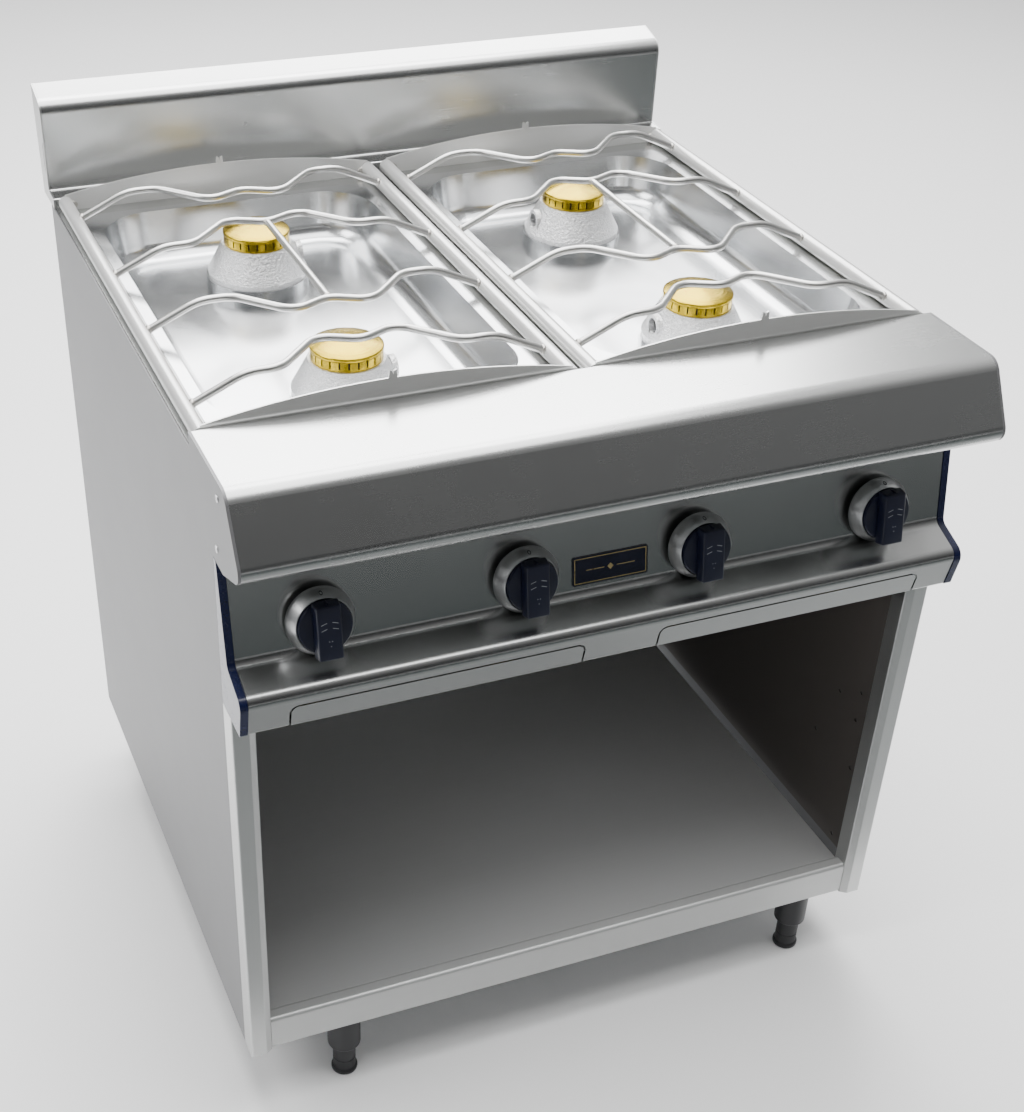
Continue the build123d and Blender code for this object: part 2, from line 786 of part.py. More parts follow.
def rod_path(x, y, way):
    """Centre line of a wavy cross rod; way is +1 where its lobes reach back, -1 where they reach forward."""
    end = rail_x - rail_radius + 1.0
    half_path = [
        (end, 0, work_height - rod_end_drop),
        (rail_x - ramp_run, 0, rod_z),
        (flat_inner, 0, rod_z),
        (lobe_half, way * lobe_out, rod_z),
    ]
    middle = [(0, way * lobe_mid, rod_z)]
    mirrored = [(-px, py, pz) for px, py, pz in reversed(half_path)]
    return [(x + px, y + py, pz) for px, py, pz in half_path + middle + mirrored]


for side, sign in sides:
    gx = sign * grate_x
    with BuildPart() as grate_frame:
        for rail_side in (-1, 1):
            with BuildSketch(Plane.XZ.offset(-plate_y0)):
                with Locations((gx + rail_side * rail_x, rail_z)):
                    Circle(rail_radius)
            extrude(amount=-(plate_y1 - plate_y0))
        for face_y in (plate_y0, plate_y1 - plate_thick):
            with BuildSketch(Plane.XZ.offset(-face_y)):
                with BuildLine():
                    left_foot = (gx - rail_x, deck_top)
                    right_foot = (gx + rail_x, deck_top)
                    left_top = (gx - rail_x, arch_end)
                    right_top = (gx + rail_x, arch_end)
                    Line(left_top, left_foot)
                    Line(left_foot, right_foot)
                    Line(right_foot, right_top)
                    ThreePointArc(right_top, (gx, arch_top), left_top)
                make_face()
                with BuildLine():
                    Polyline(
                        (gx - tab_width / 2, arch_top - 2),
                        (gx - tab_width / 2 + 1, arch_top + tab_height),
                        (gx - 1, arch_top + tab_height - 1),
                        (gx, arch_top + 3),
                        (gx + 1, arch_top + tab_height - 1),
                        (gx + tab_width / 2 - 1, arch_top + tab_height),
                        (gx + tab_width / 2, arch_top - 2),
                        close=True,
                    )
                make_face()
            extrude(amount=-plate_thick)
    save(grate_frame, f"grate_frame_{side}")

    with BuildPart() as grate_rods:
        rows = []
        for _, dy in burner_rows:
            rows.append((y_edge + dy - rod_near, 1))
            rows.append((y_edge + dy + rod_far, -1))
        for y, way in rows:
            with BuildLine():
                route = FilletPolyline(*rod_path(gx, y, way), radius=(60, 30, 24, 24, 24, 30, 60))
            with BuildSketch(Plane(origin=route @ 0, z_dir=route % 0)):
                Circle(rod_radius)
            sweep()
        link_start = rows[1][0] - lobe_mid
        link_end = rows[2][0] + lobe_mid
        with BuildSketch(Plane.XZ.offset(-link_start)):
            with Locations((gx, rod_z)):
                Circle(rod_radius)
        extrude(amount=-(link_end - link_start))
    save(grate_rods, f"grate_rods_{side}")

# ---------------------------------------------------------------- crumb trays
tray_face_top = work_height - tray_top_drop
tray_foot = work_height + skirt_foot[1]
skirt_slope = (skirt_foot[0] - ramp_foot[0]) / (skirt_foot[1] - ramp_foot[1])
face_dy = ramp_foot[0] + skirt_slope * (-tray_top_drop - ramp_foot[1])
tray_back = y_edge + skirt_foot[0] + tray_length
for side, sign in sides:
    tx = sign * tray_mid
    with BuildPart() as tray:
        with BuildSketch(Plane.YZ.offset(tx - tray_width / 2)):
            with BuildLine():
                Polyline(
                    hob(face_dy - half_sheet, -tray_top_drop),
                    hob(skirt_foot[0] - half_sheet, skirt_foot[1]),
                    (tray_back, tray_foot),
                    (tray_back, tray_face_top),
                    close=True,
                )
            make_face()
        extrude(amount=tray_width)
        with BuildSketch(Plane.XZ.offset(-(y_edge - 160))):
            with Locations((tx, tray_face_top - 30)):
                RectangleRounded(tray_width, 60, tray_corner)
        extrude(amount=-(tray_length + 60), mode=Mode.INTERSECT)
        with BuildSketch(Plane.XY.offset(tray_foot + tray_wall)):
            with Locations((tx, (y_edge + skirt_foot[0] + 12 + tray_back - tray_wall) / 2)):
                Rectangle(tray_width - 2 * tray_wall, tray_back - tray_wall - (y_edge + skirt_foot[0] + 12))
        extrude(amount=60, mode=Mode.SUBTRACT)
    save(tray, f"crumb_tray_{side}")

# Angle runners either side of each tray, and a stop plate behind.
runner_top = tray_face_top + 4
with BuildPart() as runners:
    for _, sign in sides:
        for edge in (-1, 1):
            rx = sign * tray_mid + edge * (tray_width / 2 + 1.2)
            with BuildSketch(Plane.XZ.offset(-(y_edge - 100))):
                with BuildLine():
                    Polyline(
                        (rx, tray_foot),
                        (rx, runner_top),
                        (rx + edge * 2, runner_top),
                        (rx + edge * 2, tray_foot - 2),
                        (rx - edge * 10, tray_foot - 2),
                        (rx - edge * 10, tray_foot),
                        close=True,
                    )
                make_face()
            extrude(amount=-(tray_length - 20))
save(runners, "tray_runners")

# ---------------------------------------------------------------- splashback
splash_cap = 2.0
splash_foot_rear = work_height - deck_drop
rear_lean = 12.0
splash_skin = [
    (hob_depth - ledge_depth, -deck_drop + 0.2),
    (hob_depth - ledge_depth, -deck_drop + ledge_rise - half_sheet),
    (hob_depth + half_sheet, -deck_drop + ledge_rise + 1.0),
    (hob_depth + half_sheet, splash_height - 12.0),
    (hob_depth + splash_thickness - half_sheet, splash_height - half_sheet),
    (hob_depth + splash_thickness - half_sheet, splash_height - 14.0),
]
with BuildPart() as splash_front:
    with BuildSketch(Plane.YZ.offset(-half + splash_cap)):
        with BuildLine():
            FilletPolyline(*[hob(dy, dz) for dy, dz in splash_skin], radius=(1.5, 3.0, 16.0, 2.0))
        trace(line_width=sheet)
    extrude(amount=width - 2 * splash_cap)
save(splash_front, "splash_front")

with BuildPart() as splash_back:
    with BuildSketch(Plane.YZ.offset(-half + splash_cap)):
        with BuildLine():
            FilletPolyline(
                hob(hob_depth + splash_thickness - half_sheet - sheet - 0.1, splash_height - 4.0),
                hob(hob_depth + splash_thickness - half_sheet - sheet - rear_lean, -deck_drop + half_sheet),
                (y_back - 6, deck_top + half_sheet),
                radius=(4.0,),
            )
        trace(line_width=sheet)
    extrude(amount=width - 2 * splash_cap)
save(splash_back, "splash_back")

slit_y, slit_z = hob(hob_depth + 8, 34.0)
with BuildPart() as splash_ends:
    for _, sign in sides:
        with BuildSketch(Plane.YZ.offset(-half if sign < 0 else half - splash_cap)):
            with BuildLine():
                FilletPolyline(
                    hob(hob_depth - ledge_depth - half_sheet, -deck_drop),
                    hob(hob_depth - ledge_depth - half_sheet, -deck_drop + ledge_rise),
                    hob(hob_depth, -deck_drop + ledge_rise + 2),
                    hob(hob_depth, splash_height - 12.0),
                    hob(hob_depth + splash_thickness, splash_height),
                    hob(hob_depth + splash_thickness - rear_lean, -deck_drop),
                    radius=(0.5, 1.5, 1.0, 16.0, 2.0, 0.5),
                    close=True,
                )
            make_face()
            with Locations((slit_y, slit_z)):
                Rectangle(3, 34, mode=Mode.SUBTRACT)
        extrude(amount=splash_cap)
save(splash_ends, "splash_ends")
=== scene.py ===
# %% [markdown]
# # Gas range
# A four-burner catering range of folded stainless sheet on an open base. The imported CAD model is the
# frame: its nodes are never moved, and this script gives them finishes and adds the small turned, moulded
# and welded pieces that CAD leaves plain. Units are metres, +Z is up, and the cook stands at -Y.

# %% Load the frame
import json
import math

import bmesh
import bpy
from mathutils import Matrix, Vector


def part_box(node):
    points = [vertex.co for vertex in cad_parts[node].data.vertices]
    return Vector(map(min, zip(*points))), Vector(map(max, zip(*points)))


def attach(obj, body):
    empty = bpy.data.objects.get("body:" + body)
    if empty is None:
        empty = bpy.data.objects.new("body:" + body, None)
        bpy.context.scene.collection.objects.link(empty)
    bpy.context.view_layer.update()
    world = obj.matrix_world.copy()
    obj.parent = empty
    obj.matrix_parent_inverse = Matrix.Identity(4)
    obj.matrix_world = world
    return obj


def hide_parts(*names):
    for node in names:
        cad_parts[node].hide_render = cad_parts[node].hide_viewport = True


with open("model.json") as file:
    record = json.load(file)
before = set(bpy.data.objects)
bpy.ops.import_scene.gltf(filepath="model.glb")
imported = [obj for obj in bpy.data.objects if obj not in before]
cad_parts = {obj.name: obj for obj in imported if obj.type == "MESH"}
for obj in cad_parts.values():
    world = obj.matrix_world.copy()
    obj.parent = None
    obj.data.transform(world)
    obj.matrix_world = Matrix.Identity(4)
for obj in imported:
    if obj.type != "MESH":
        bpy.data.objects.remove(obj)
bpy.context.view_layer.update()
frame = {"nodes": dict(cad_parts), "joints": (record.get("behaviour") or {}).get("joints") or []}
NODES = frame["nodes"]

# %% [markdown]
# ## Places
# A maker measures from edges that can be touched. Here the datum is the hob edge, where the front rail's
# flat top ends and the deck begins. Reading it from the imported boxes, instead of typing it, keeps every
# added piece in place if the range is built in another size.

# %% Datum levels and seats
MM = 0.001
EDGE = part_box("hob_deck")[0].y
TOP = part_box("front_rail")[1].z
JOINTS = {joint["name"]: joint for joint in frame["joints"]}
SIDES = {"left": -1, "right": 1}
DIALS = ("far_left", "mid_left", "mid_right", "far_right")
print("edge", round(EDGE, 4), "top", round(TOP, 4))


def hob(dx, dy, dz):
    """A point given in millimetres from the middle of the hob edge."""
    return Vector((dx * MM, EDGE + dy * MM, TOP + dz * MM))


def seat(origin, out):
    """Matrix of a small workpiece: its x runs right, its z runs out along `out`."""
    out = Vector(out).normalized()
    right = Vector((1, 0, 0)) if abs(out.x) < 0.9 else Vector((0, 1, 0))
    up = out.cross(right).normalized()
    right = up.cross(out).normalized()
    turn = Matrix((right, up, out)).transposed().to_4x4()
    return Matrix.Translation(origin) @ turn

# %% [markdown]
# ## Shaping helpers
# Almost every small piece of a range is turned, cut from bar or a weld bead, so there is one helper for
# each: a profile spun about an axis, a cube with bevelled edges and a squashed ball. All work in
# millimetres, and `piece` scales the result once and sets it in place, so that each object sits at the
# origin and its pattern doesn't slide.

# %% Lathe, block, blob and piece
def lathe(bm, profile, steps=72):
    """Turns a closed profile of (radius, height) about the local z axis."""
    points = [bm.verts.new((r, 0, h)) for r, h in profile]
    edges = [bm.edges.new((a, b)) for a, b in zip(points, points[1:])]
    bmesh.ops.spin(
        bm, geom=points + edges, cent=(0, 0, 0), axis=(0, 0, 1), angle=math.tau, steps=steps, use_merge=True
    )
    bmesh.ops.remove_doubles(bm, verts=bm.verts, dist=0.0005)


def block(bm, size, centre, edge=0.0, turn=0.0, segments=3):
    """A box with bevelled edges, turned about its own z axis."""
    made = bmesh.ops.create_cube(bm, size=1.0)["verts"]
    bmesh.ops.scale(bm, vec=size, verts=made)
    if edge:
        borders = list({e for v in made for e in v.link_edges})
        made = bmesh.ops.bevel(
            bm, geom=borders, offset=edge, affect="EDGES", segments=segments, profile=0.5, material=-1
        )["verts"]
    bmesh.ops.rotate(bm, cent=(0, 0, 0), matrix=Matrix.Rotation(turn, 3, "Z"), verts=made)
    bmesh.ops.translate(bm, vec=centre, verts=made)
    return made


def blob(bm, centre, radii):
    """A weld bead: a squashed ball."""
    made = bmesh.ops.create_icosphere(bm, subdivisions=3, radius=1.0)["verts"]
    bmesh.ops.scale(bm, vec=radii, verts=made)
    bmesh.ops.translate(bm, vec=centre, verts=made)


def piece(name, bm, matrix, finish, body, crease=35):
    """Finishes a bmesh as an object that sits at the origin and rides on a body."""
    bmesh.ops.scale(bm, vec=(MM, MM, MM), verts=bm.verts)
    bmesh.ops.transform(bm, matrix=matrix, verts=bm.verts)
    bmesh.ops.recalc_face_normals(bm, faces=bm.faces)
    mesh = bpy.data.meshes.new(name)
    bm.to_mesh(mesh)
    bm.free()
    mesh.polygons.foreach_set("use_smooth", [True] * len(mesh.polygons))
    mesh.set_sharp_from_angle(angle=math.radians(crease))
    made = bpy.data.objects.new(name, mesh)
    bpy.context.scene.collection.objects.link(made)
    made.data.materials.append(finish)
    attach(made, body)
    return made

# %% [markdown]
# ## Signals
# Shader maths built node by node is hard to read. A Signal wraps one output and answers to +, - and *,
# so a tone can be written as a sum. Each sign adds one Math node behind the scenes.

# %% Arithmetic on shader outputs
class Signal:
    """One shader output with ordinary arithmetic."""

    def __init__(self, tree, socket):
        self.tree = tree
        self.socket = socket

    def math(self, operation, other=0.0, first=False):
        made = self.tree.nodes.new("ShaderNodeMath")
        made.operation = operation
        pair = (other, self) if first else (self, other)
        for place, value in zip(made.inputs, pair):
            if isinstance(value, Signal):
                self.tree.links.new(value.socket, place)
            else:
                place.default_value = value
        return Signal(self.tree, made.outputs[0])

    def __add__(self, other):
        return self.math("ADD", other)

    def __radd__(self, other):
        return self.math("ADD", other)

    def __sub__(self, other):
        return self.math("SUBTRACT", other)

    def __rsub__(self, other):
        return self.math("SUBTRACT", other, first=True)

    def __mul__(self, other):
        return self.math("MULTIPLY", other)

    def __rmul__(self, other):
        return self.math("MULTIPLY", other)

    def __abs__(self):
        return self.math("ABSOLUTE")

    def __pow__(self, other):
        return self.math("POWER", other)

# %% [markdown]
# ## Finishes
# `Wiring` adds any node with its settings and sockets in one line. A `Finish` is a material wired on
# object coordinates, which need no unwrapping. Only colour, roughness and the normal vary over a surface.

# %% Wiring and Finish
class Wiring:
    """Adds nodes to one node tree and gives their outputs back as signals."""

    def __init__(self, tree):
        self.tree = tree

    def node(self, kind, output, stops=(), **settings):
        """A node of one type: a ramp's stops, then its settings, then its sockets' values or links."""
        made = self.tree.nodes.new(kind)
        for index, (position, colour) in enumerate(stops):
            made.color_ramp.elements[index].position = position
            made.color_ramp.elements[index].color = colour
        for key, value in settings.items():
            if key in made.bl_rna.properties:
                setattr(made, key, value)
                continue
            socket = made.inputs[key.replace("_", " ")]
            if isinstance(value, Signal):
                self.tree.links.new(value.socket, socket)
            else:
                socket.default_value = value
        return Signal(self.tree, made.outputs[output])


class Finish(Wiring):
    """A principled material on object coordinates."""

    def __init__(self, name, **constants):
        self.material = bpy.data.materials.new(name)
        self.material.use_nodes = True
        super().__init__(self.material.node_tree)
        self.shader = self.tree.nodes["Principled BSDF"]
        for key, value in constants.items():
            self.shader.inputs[key.replace("_", " ")].default_value = value
        self.place = self.node("ShaderNodeTexCoord", "Object")

    def noise(self, scale, detail=3.0, roughness=0.55):
        """Noise whose scale may differ along the three axes, in cells per metre."""
        place = self.node("ShaderNodeMapping", "Vector", Vector=self.place, Scale=scale)
        return self.node(
            "ShaderNodeTexNoise", "Fac", Vector=place, Scale=1.0, Detail=detail, Roughness=roughness
        )

    def tones(self, factor, dark, light):
        """A colour between two, by a 0 to 1 signal."""
        return self.node(
            "ShaderNodeMix", 2, data_type="RGBA", Factor=factor, A=(*dark, 1), B=(*light, 1)
        )

    def join(self, socket, signal):
        self.tree.links.new(signal.socket, self.shader.inputs[socket])

    def bump(self, height, distance, strength=1.0):
        normal = self.node("ShaderNodeBump", 0, Height=height, Distance=distance, Strength=strength)
        self.join("Normal", normal)


def shade(colour, factor):
    return tuple(min(1.0, c * factor) for c in colour)

# %% [markdown]
# ## Brushed sheet
# Satin sheet is drawn under an abrasive belt, so its scratches are long one way and fine the other.
# Noise stretched by a Mapping node gives that without a texture file. Clouds and smears are added because
# a used surface is never even.

# %% Brushed sheet
GRAIN = {"x": (5, 420, 420), "z": (420, 420, 5)}
TONE_SWING = 2.2


def brushed(name, colour, along, roughness, streak=0.05, spread=0.03, metal=1.0):
    """Sheet with a satin grain, faint clouds and the odd handling smear."""
    made = Finish(name, Metallic=metal)
    grain = made.noise(GRAIN[along], detail=5.0, roughness=0.7)
    fine = made.noise(tuple(4 * s for s in GRAIN[along]), detail=2.0)
    cloud = made.noise((4, 4, 4), detail=2.0)
    smear = made.noise((14, 9, 14), detail=4.0, roughness=0.65)
    tone = 0.45 * grain + 0.2 * fine + 0.35 * cloud
    dark, light = shade(colour, 1 - TONE_SWING * spread), shade(colour, 1 + TONE_SWING * spread)
    made.join("Base Color", made.tones(tone, dark, light))
    made.join("Roughness", roughness + (grain - 0.5) * streak + (smear - 0.5) * 0.05)
    made.bump(grain + 0.5 * fine, 0.000004, 0.3)
    return made.material

# %% [markdown]
# ## Drawn sheet
# The wells are pressed from sheet, which leaves them smoother than the brushed panels and slightly wavy.
# A slow noise bends the reflections, and a fine one stands for rubbed patches.

# %% Drawn sheet
def drawn(name, colour, roughness):
    """Deep-drawn sheet: near mirror, with long soft waves and rubbed patches."""
    made = Finish(name, Metallic=1.0)
    wave = made.noise((7, 5, 7), detail=2.0)
    rub = made.noise((60, 22, 60), detail=6.0, roughness=0.7)
    made.join("Base Color", made.tones(0.5 * wave + 0.5 * rub, shade(colour, 0.86), shade(colour, 1.1)))
    made.join("Roughness", roughness + (rub - 0.5) * 0.10 + (wave - 0.5) * 0.05)
    made.bump(wave + 0.01 * rub, 0.0012, 0.5)
    return made.material

# %% [markdown]
# ## Turned and plated metal
# Bars, screws and fittings are too small to show a grain. A fine mottle in colour and roughness keeps
# them from looking like chrome balls.

# %% Turned and plated metal
def plain_metal(name, colour, roughness, cells=260, dent=0.00005):
    """Turned, plated or polished metal with a fine mottle."""
    made = Finish(name, Metallic=1.0)
    mottle = made.noise((cells, cells, cells), detail=4.0)
    cloud = made.noise((25, 25, 25), detail=3.0)
    made.join("Base Color", made.tones(0.5 * mottle + 0.5 * cloud, shade(colour, 0.82), shade(colour, 1.12)))
    made.join("Roughness", roughness + (mottle - 0.5) * 0.10 + (cloud - 0.5) * 0.10)
    made.bump(mottle, dent, 0.5)
    return made.material

# %% [markdown]
# ## Cast aluminium
# A sand casting keeps the pebbled skin of its mould. Noise gives the skin, and Voronoi cells lighten the
# colour in flecks, a painted glint where the grains would catch the light; the same cells roughen the bump.

# %% Cast aluminium
def cast(name, colour):
    """Sand-cast aluminium: pebbled skin with flecks of painted glint."""
    made = Finish(name, Metallic=1.0)
    coarse = made.noise((240, 240, 240), detail=4.0, roughness=0.7)
    fine = made.noise((900, 900, 900), detail=3.0, roughness=0.7)
    glint_and_grain_flecks = made.node("ShaderNodeTexVoronoi", "Distance", Vector=made.place, Scale=420.0)
    # The Voronoi flecks lighten the base colour as painted glints.
    made.join("Base Color", made.tones(0.5 * coarse + 0.5 * glint_and_grain_flecks, shade(colour, 0.72), shade(colour, 1.3)))
    made.join("Roughness", 0.30 + (fine - 0.5) * 0.25)
    made.bump(coarse + 0.4 * fine + 0.5 * glint_and_grain_flecks, 0.0016, 1.0)
    return made.material

# %% [markdown]
# ## Turned brass
# Lathe marks run round an axis, and this material serves four burners at once. Folding the coordinates
# with an absolute value lays all four axes on one, so sines of one radius mark every cap.

# %% Turned brass
def turned_brass(name, colour):
    """Brass with concentric tool marks round each of the four burner axes."""
    made = Finish(name, Metallic=1.0)
    x = made.node("ShaderNodeSeparateXYZ", "X", Vector=made.place)
    y = made.node("ShaderNodeSeparateXYZ", "Y", Vector=made.place)
    middle = (BURNERS["front_left"].y + BURNERS["rear_left"].y) / 2
    reach = BURNERS["rear_left"].y - middle
    across = abs(x) - abs(BURNERS["front_left"].x)
    along = abs(y - middle) - reach
    radius = (across * across + along * along) ** 0.5
    rings = (radius * 9000.0).math("SINE") * 0.5 + 0.5
    slow = (radius * 1500.0).math("SINE") * 0.5 + 0.5
    tarnish = made.noise((70, 70, 70), detail=5.0, roughness=0.7)
    tone = 0.25 * rings + 0.2 * slow + 0.55 * tarnish
    made.join("Base Color", made.tones(tone, shade(colour, 0.72), shade(colour, 1.2)))
    made.join("Roughness", 0.20 + 0.08 * rings + (tarnish - 0.5) * 0.16)
    made.bump(rings + 0.6 * slow, 0.00006, 0.8)
    return made.material

# %% [markdown]
# ## Plastic and enamel
# Knobs, trims and feet share a material kind: a very fine skin, with rub marks that lift the dark tone
# a little. A thin coat is added only where the part is glossy.

# %% Moulded plastic
def moulded(name, colour, roughness, coat=0.0, grain=0.00003):
    """Moulded plastic or enamel with a fine skin and faint rub marks."""
    made = Finish(name, Coat_Weight=coat, Coat_Roughness=0.08, Specular_IOR_Level=0.5)
    skin = made.noise((1400, 1400, 1400), detail=2.0)
    rub = made.noise((45, 45, 45), detail=5.0, roughness=0.7)
    made.join("Base Color", made.tones(rub, shade(colour, 0.75), shade(colour, 1.6)))
    made.join("Roughness", roughness + (rub - 0.5) * 0.16 + (skin - 0.5) * 0.06)
    made.bump(skin, grain, 0.5)
    return made.material

# %% [markdown]
# ## Burner and dial places
# The four burners stand in two rows either side of the middle. The dials are not measured at all: each
# knob's joint already says where its axis is and which way it points.

# %% Burner axes and dial seats
BURNER_X = 200
BURNER_ROWS = {"front": 138, "rear": 454}
BURNERS = {}
for row, dy in BURNER_ROWS.items():
    for side, sign in SIDES.items():
        BURNERS[f"{row}_{side}"] = hob(sign * BURNER_X, dy, 0)
DIAL_SEATS = {}
for dial in DIALS:
    joint = JOINTS[f"knob_{dial}_turn"]
    DIAL_SEATS[dial] = seat(Vector(joint["pos_m"]), joint["axis"])
print("burners", {k: tuple(round(c, 3) for c in v) for k, v in BURNERS.items()})

# %% [markdown]
# ## Choosing the finishes
# Sheets that are folded from one stock still look different, since each faces another way to the lamps.
# So each group has its own material, with its own grain direction and roughness. Some tones are painted
# shade or light: the side panels, control panel and inner walls are painted darker, the splash and grate
# plates painted lighter.

# %% The range's own finishes
STEEL = (0.56, 0.565, 0.56)
steel_upright = brushed("steel_grain_upright", STEEL, "z", 0.34)
# Painted shade: the side panels get a much darker, less metallic copy of the steel.
steel_side_shaded = brushed("steel_side_shaded", (0.17, 0.17, 0.175), "z", 0.45, metal=0.35)
steel_rail = brushed("steel_rail", STEEL, "x", 0.27, streak=0.02, spread=0.01)
# Painted shade: a darker copy of the steel for the panel under the nosing, also worn by the crumb trays.
steel_panel_shaded = brushed("steel_panel_shaded", shade(STEEL, 0.82), "x", 0.25, streak=0.02, spread=0.012)
# Painted light: a lighter, part-diffuse copy of the steel so that the grate plates read bright.
steel_grate_lit = brushed("steel_grate_lit", (0.68, 0.68, 0.67), "x", 0.33, metal=0.6)
# Painted light: a lighter copy of the steel for the splash, in place of the hob's reflections.
steel_splash_lit = brushed("steel_splash_lit", shade(STEEL, 1.08), "x", 0.26)
steel_deck = brushed("steel_deck", shade(STEEL, 1.02), "x", 0.25)
steel_shelf = brushed("steel_shelf", STEEL, "x", 0.45, metal=0.6)
# Painted shade: the inner walls are a dark copy of the steel, for the shade inside the cabinet.
steel_inside_shaded = brushed("steel_inside_shaded", (0.12, 0.107, 0.10), "z", 0.46, metal=0.8)
well_steel = drawn("well_steel", (0.66, 0.67, 0.68), 0.21)
bar_steel = plain_metal("bar_steel", (0.62, 0.615, 0.60), 0.33, cells=180)
weld_steel = plain_metal("weld_steel", (0.52, 0.50, 0.47), 0.38, cells=700, dent=0.0003)
screw_steel = plain_metal("screw_steel", (0.6, 0.6, 0.61), 0.28)
zinc = plain_metal("zinc_plate", (0.50, 0.51, 0.52), 0.42, cells=120)
spindle_steel = plain_metal("spindle_steel", (0.55, 0.55, 0.55), 0.3)
satin = plain_metal("satin_bezel", (0.62, 0.625, 0.63), 0.33, cells=500)
valve_brass = plain_metal("valve_brass", (0.70, 0.52, 0.24), 0.34)
copper = plain_metal("copper_pipe", (0.72, 0.40, 0.26), 0.3)
casting = cast("burner_casting", (0.84, 0.84, 0.85))
brass = turned_brass("turned_brass", (0.52, 0.365, 0.022))
gold = plain_metal("badge_gold", (0.80, 0.62, 0.30), 0.3)
navy = moulded("navy_trim", (0.003, 0.006, 0.035), 0.26, coat=0.15)
navy_badge = moulded("navy_badge", (0.004, 0.005, 0.018), 0.22, coat=0.3)
knob_blue = moulded("knob_plastic", (0.004, 0.006, 0.021), 0.34)
print_white = moulded("dial_print", (0.17, 0.18, 0.20), 0.5)
print_dark = moulded("bezel_print", (0.03, 0.03, 0.035), 0.5)
# Painted shade for the recessed slots of the burner crowns.
painted_slot_shade = moulded("crown_painted_slot_shade", (0.02, 0.014, 0.008), 0.7)
black = moulded("black_plastic", (0.012, 0.012, 0.014), 0.45)

# %% [markdown]
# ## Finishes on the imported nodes
# A table from finish to nodes is easier to check than a chain of tests: every node has to appear once,
# and the count is printed at the end.

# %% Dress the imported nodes
WEARS = {
    steel_splash_lit: ("splash_front",),
    steel_rail: ("front_rail",),
    steel_panel_shaded: ("control_panel", "crumb_tray_left", "crumb_tray_right"),
    steel_side_shaded: ("side_panel_left", "side_panel_right", "front_rail_end_left", "front_rail_end_right"),
    steel_upright: ("front_post_left", "front_post_right", "splash_ends", "splash_back", "back_panel"),
    steel_deck: ("hob_deck",),
    steel_shelf: ("bottom_shelf",),
    steel_inside_shaded: ("inner_wall_left", "inner_wall_right"),
    well_steel: ("drip_well_left", "drip_well_right"),
    steel_grate_lit: ("grate_frame_left", "grate_frame_right"),
    bar_steel: ("grate_rods_left", "grate_rods_right"),
    screw_steel: ("end_screws", "pilots"),
    zinc: ("base_frame", "tray_runners", "gas_manifold", "gas_inlet"),
    spindle_steel: tuple(f"spindle_{dial}" for dial in DIALS),
    satin: ("knob_bezels",),
    valve_brass: ("gas_valves", "injectors"),
    copper: ("supply_pipes",),
    casting: ("mixing_tubes",) + tuple(f"burner_body_{name}" for name in BURNERS),
    brass: ("burner_crowns",) + tuple(f"burner_cap_{name}" for name in BURNERS),
    navy: ("panel_trim_left", "panel_trim_right"),
    navy_badge: ("badge_plate",),
    knob_blue: tuple(f"knob_{dial}" for dial in DIALS),
    black: ("foot_sleeves",) + tuple(f"foot_{name}" for name in BURNERS),
}
dressed = 0
for finish, names in WEARS.items():
    for name in names:
        mesh = NODES[name].data
        mesh.materials.clear()
        mesh.materials.append(finish)
        dressed += 1
print("dressed", dressed, "of", len(NODES))

# %% [markdown]
# ## Knobs
# The knob is a moulded disc with a bar grip across it, longer than the disc is wide. The disc is turned
# and the bar is a block with rolled edges. The grip's underside stays clear of the bezel when the
# spindle is pushed in. The marks are short raised lines and dots, with no lettering.

# %% Knobs with grips and marks
for dial in DIALS:
    bm = bmesh.new()
    lathe(bm, [(0, 19.2), (26.0, 19.2), (27, 20.2), (27, 25.4), (26.4, 26.7), (25.2, 27.2), (0, 27.2)])
    grip = block(bm, (26.5, 58.0, 13.6), (0, -0.7, 33.45), edge=2.2, segments=4)
    for v in grip:
        if v.co.z > 35:
            v.co.x *= 0.92
            v.co.y = v.co.y * 0.96 - 0.4
    block(bm, (1.6, 2.0, 10.0), (0, 28.0, 32.5), edge=0.4)
    knob = piece(f"dial_{dial}_grip", bm, DIAL_SEATS[dial], knob_blue, f"dial_{dial}")
    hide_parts(f"knob_{dial}")
    bm = bmesh.new()
    for sign in (-1, 1):
        for dy in (3.5, 9.5):
            block(bm, (6.0, 0.7, 0.3), (sign * 5.6, dy, 40.2), edge=0.1, turn=sign * -0.3)
        block(bm, (0.9, 0.9, 0.3), (sign * 1.4, -9.0, 40.2), edge=0.1)
    block(bm, (0.9, 0.9, 0.3), (0, -14.0, 40.2), edge=0.1)
    piece(f"dial_{dial}_marks", bm, DIAL_SEATS[dial], print_white, f"dial_{dial}")
print("dials", len(DIALS))

# %% [markdown]
# ## Bezels
# The satin ring round each knob is a turned cup. Each one is spun at the middle of the panel and moved
# to its dial, all in one mesh. Its profile ends where it starts, so the wall is closed.

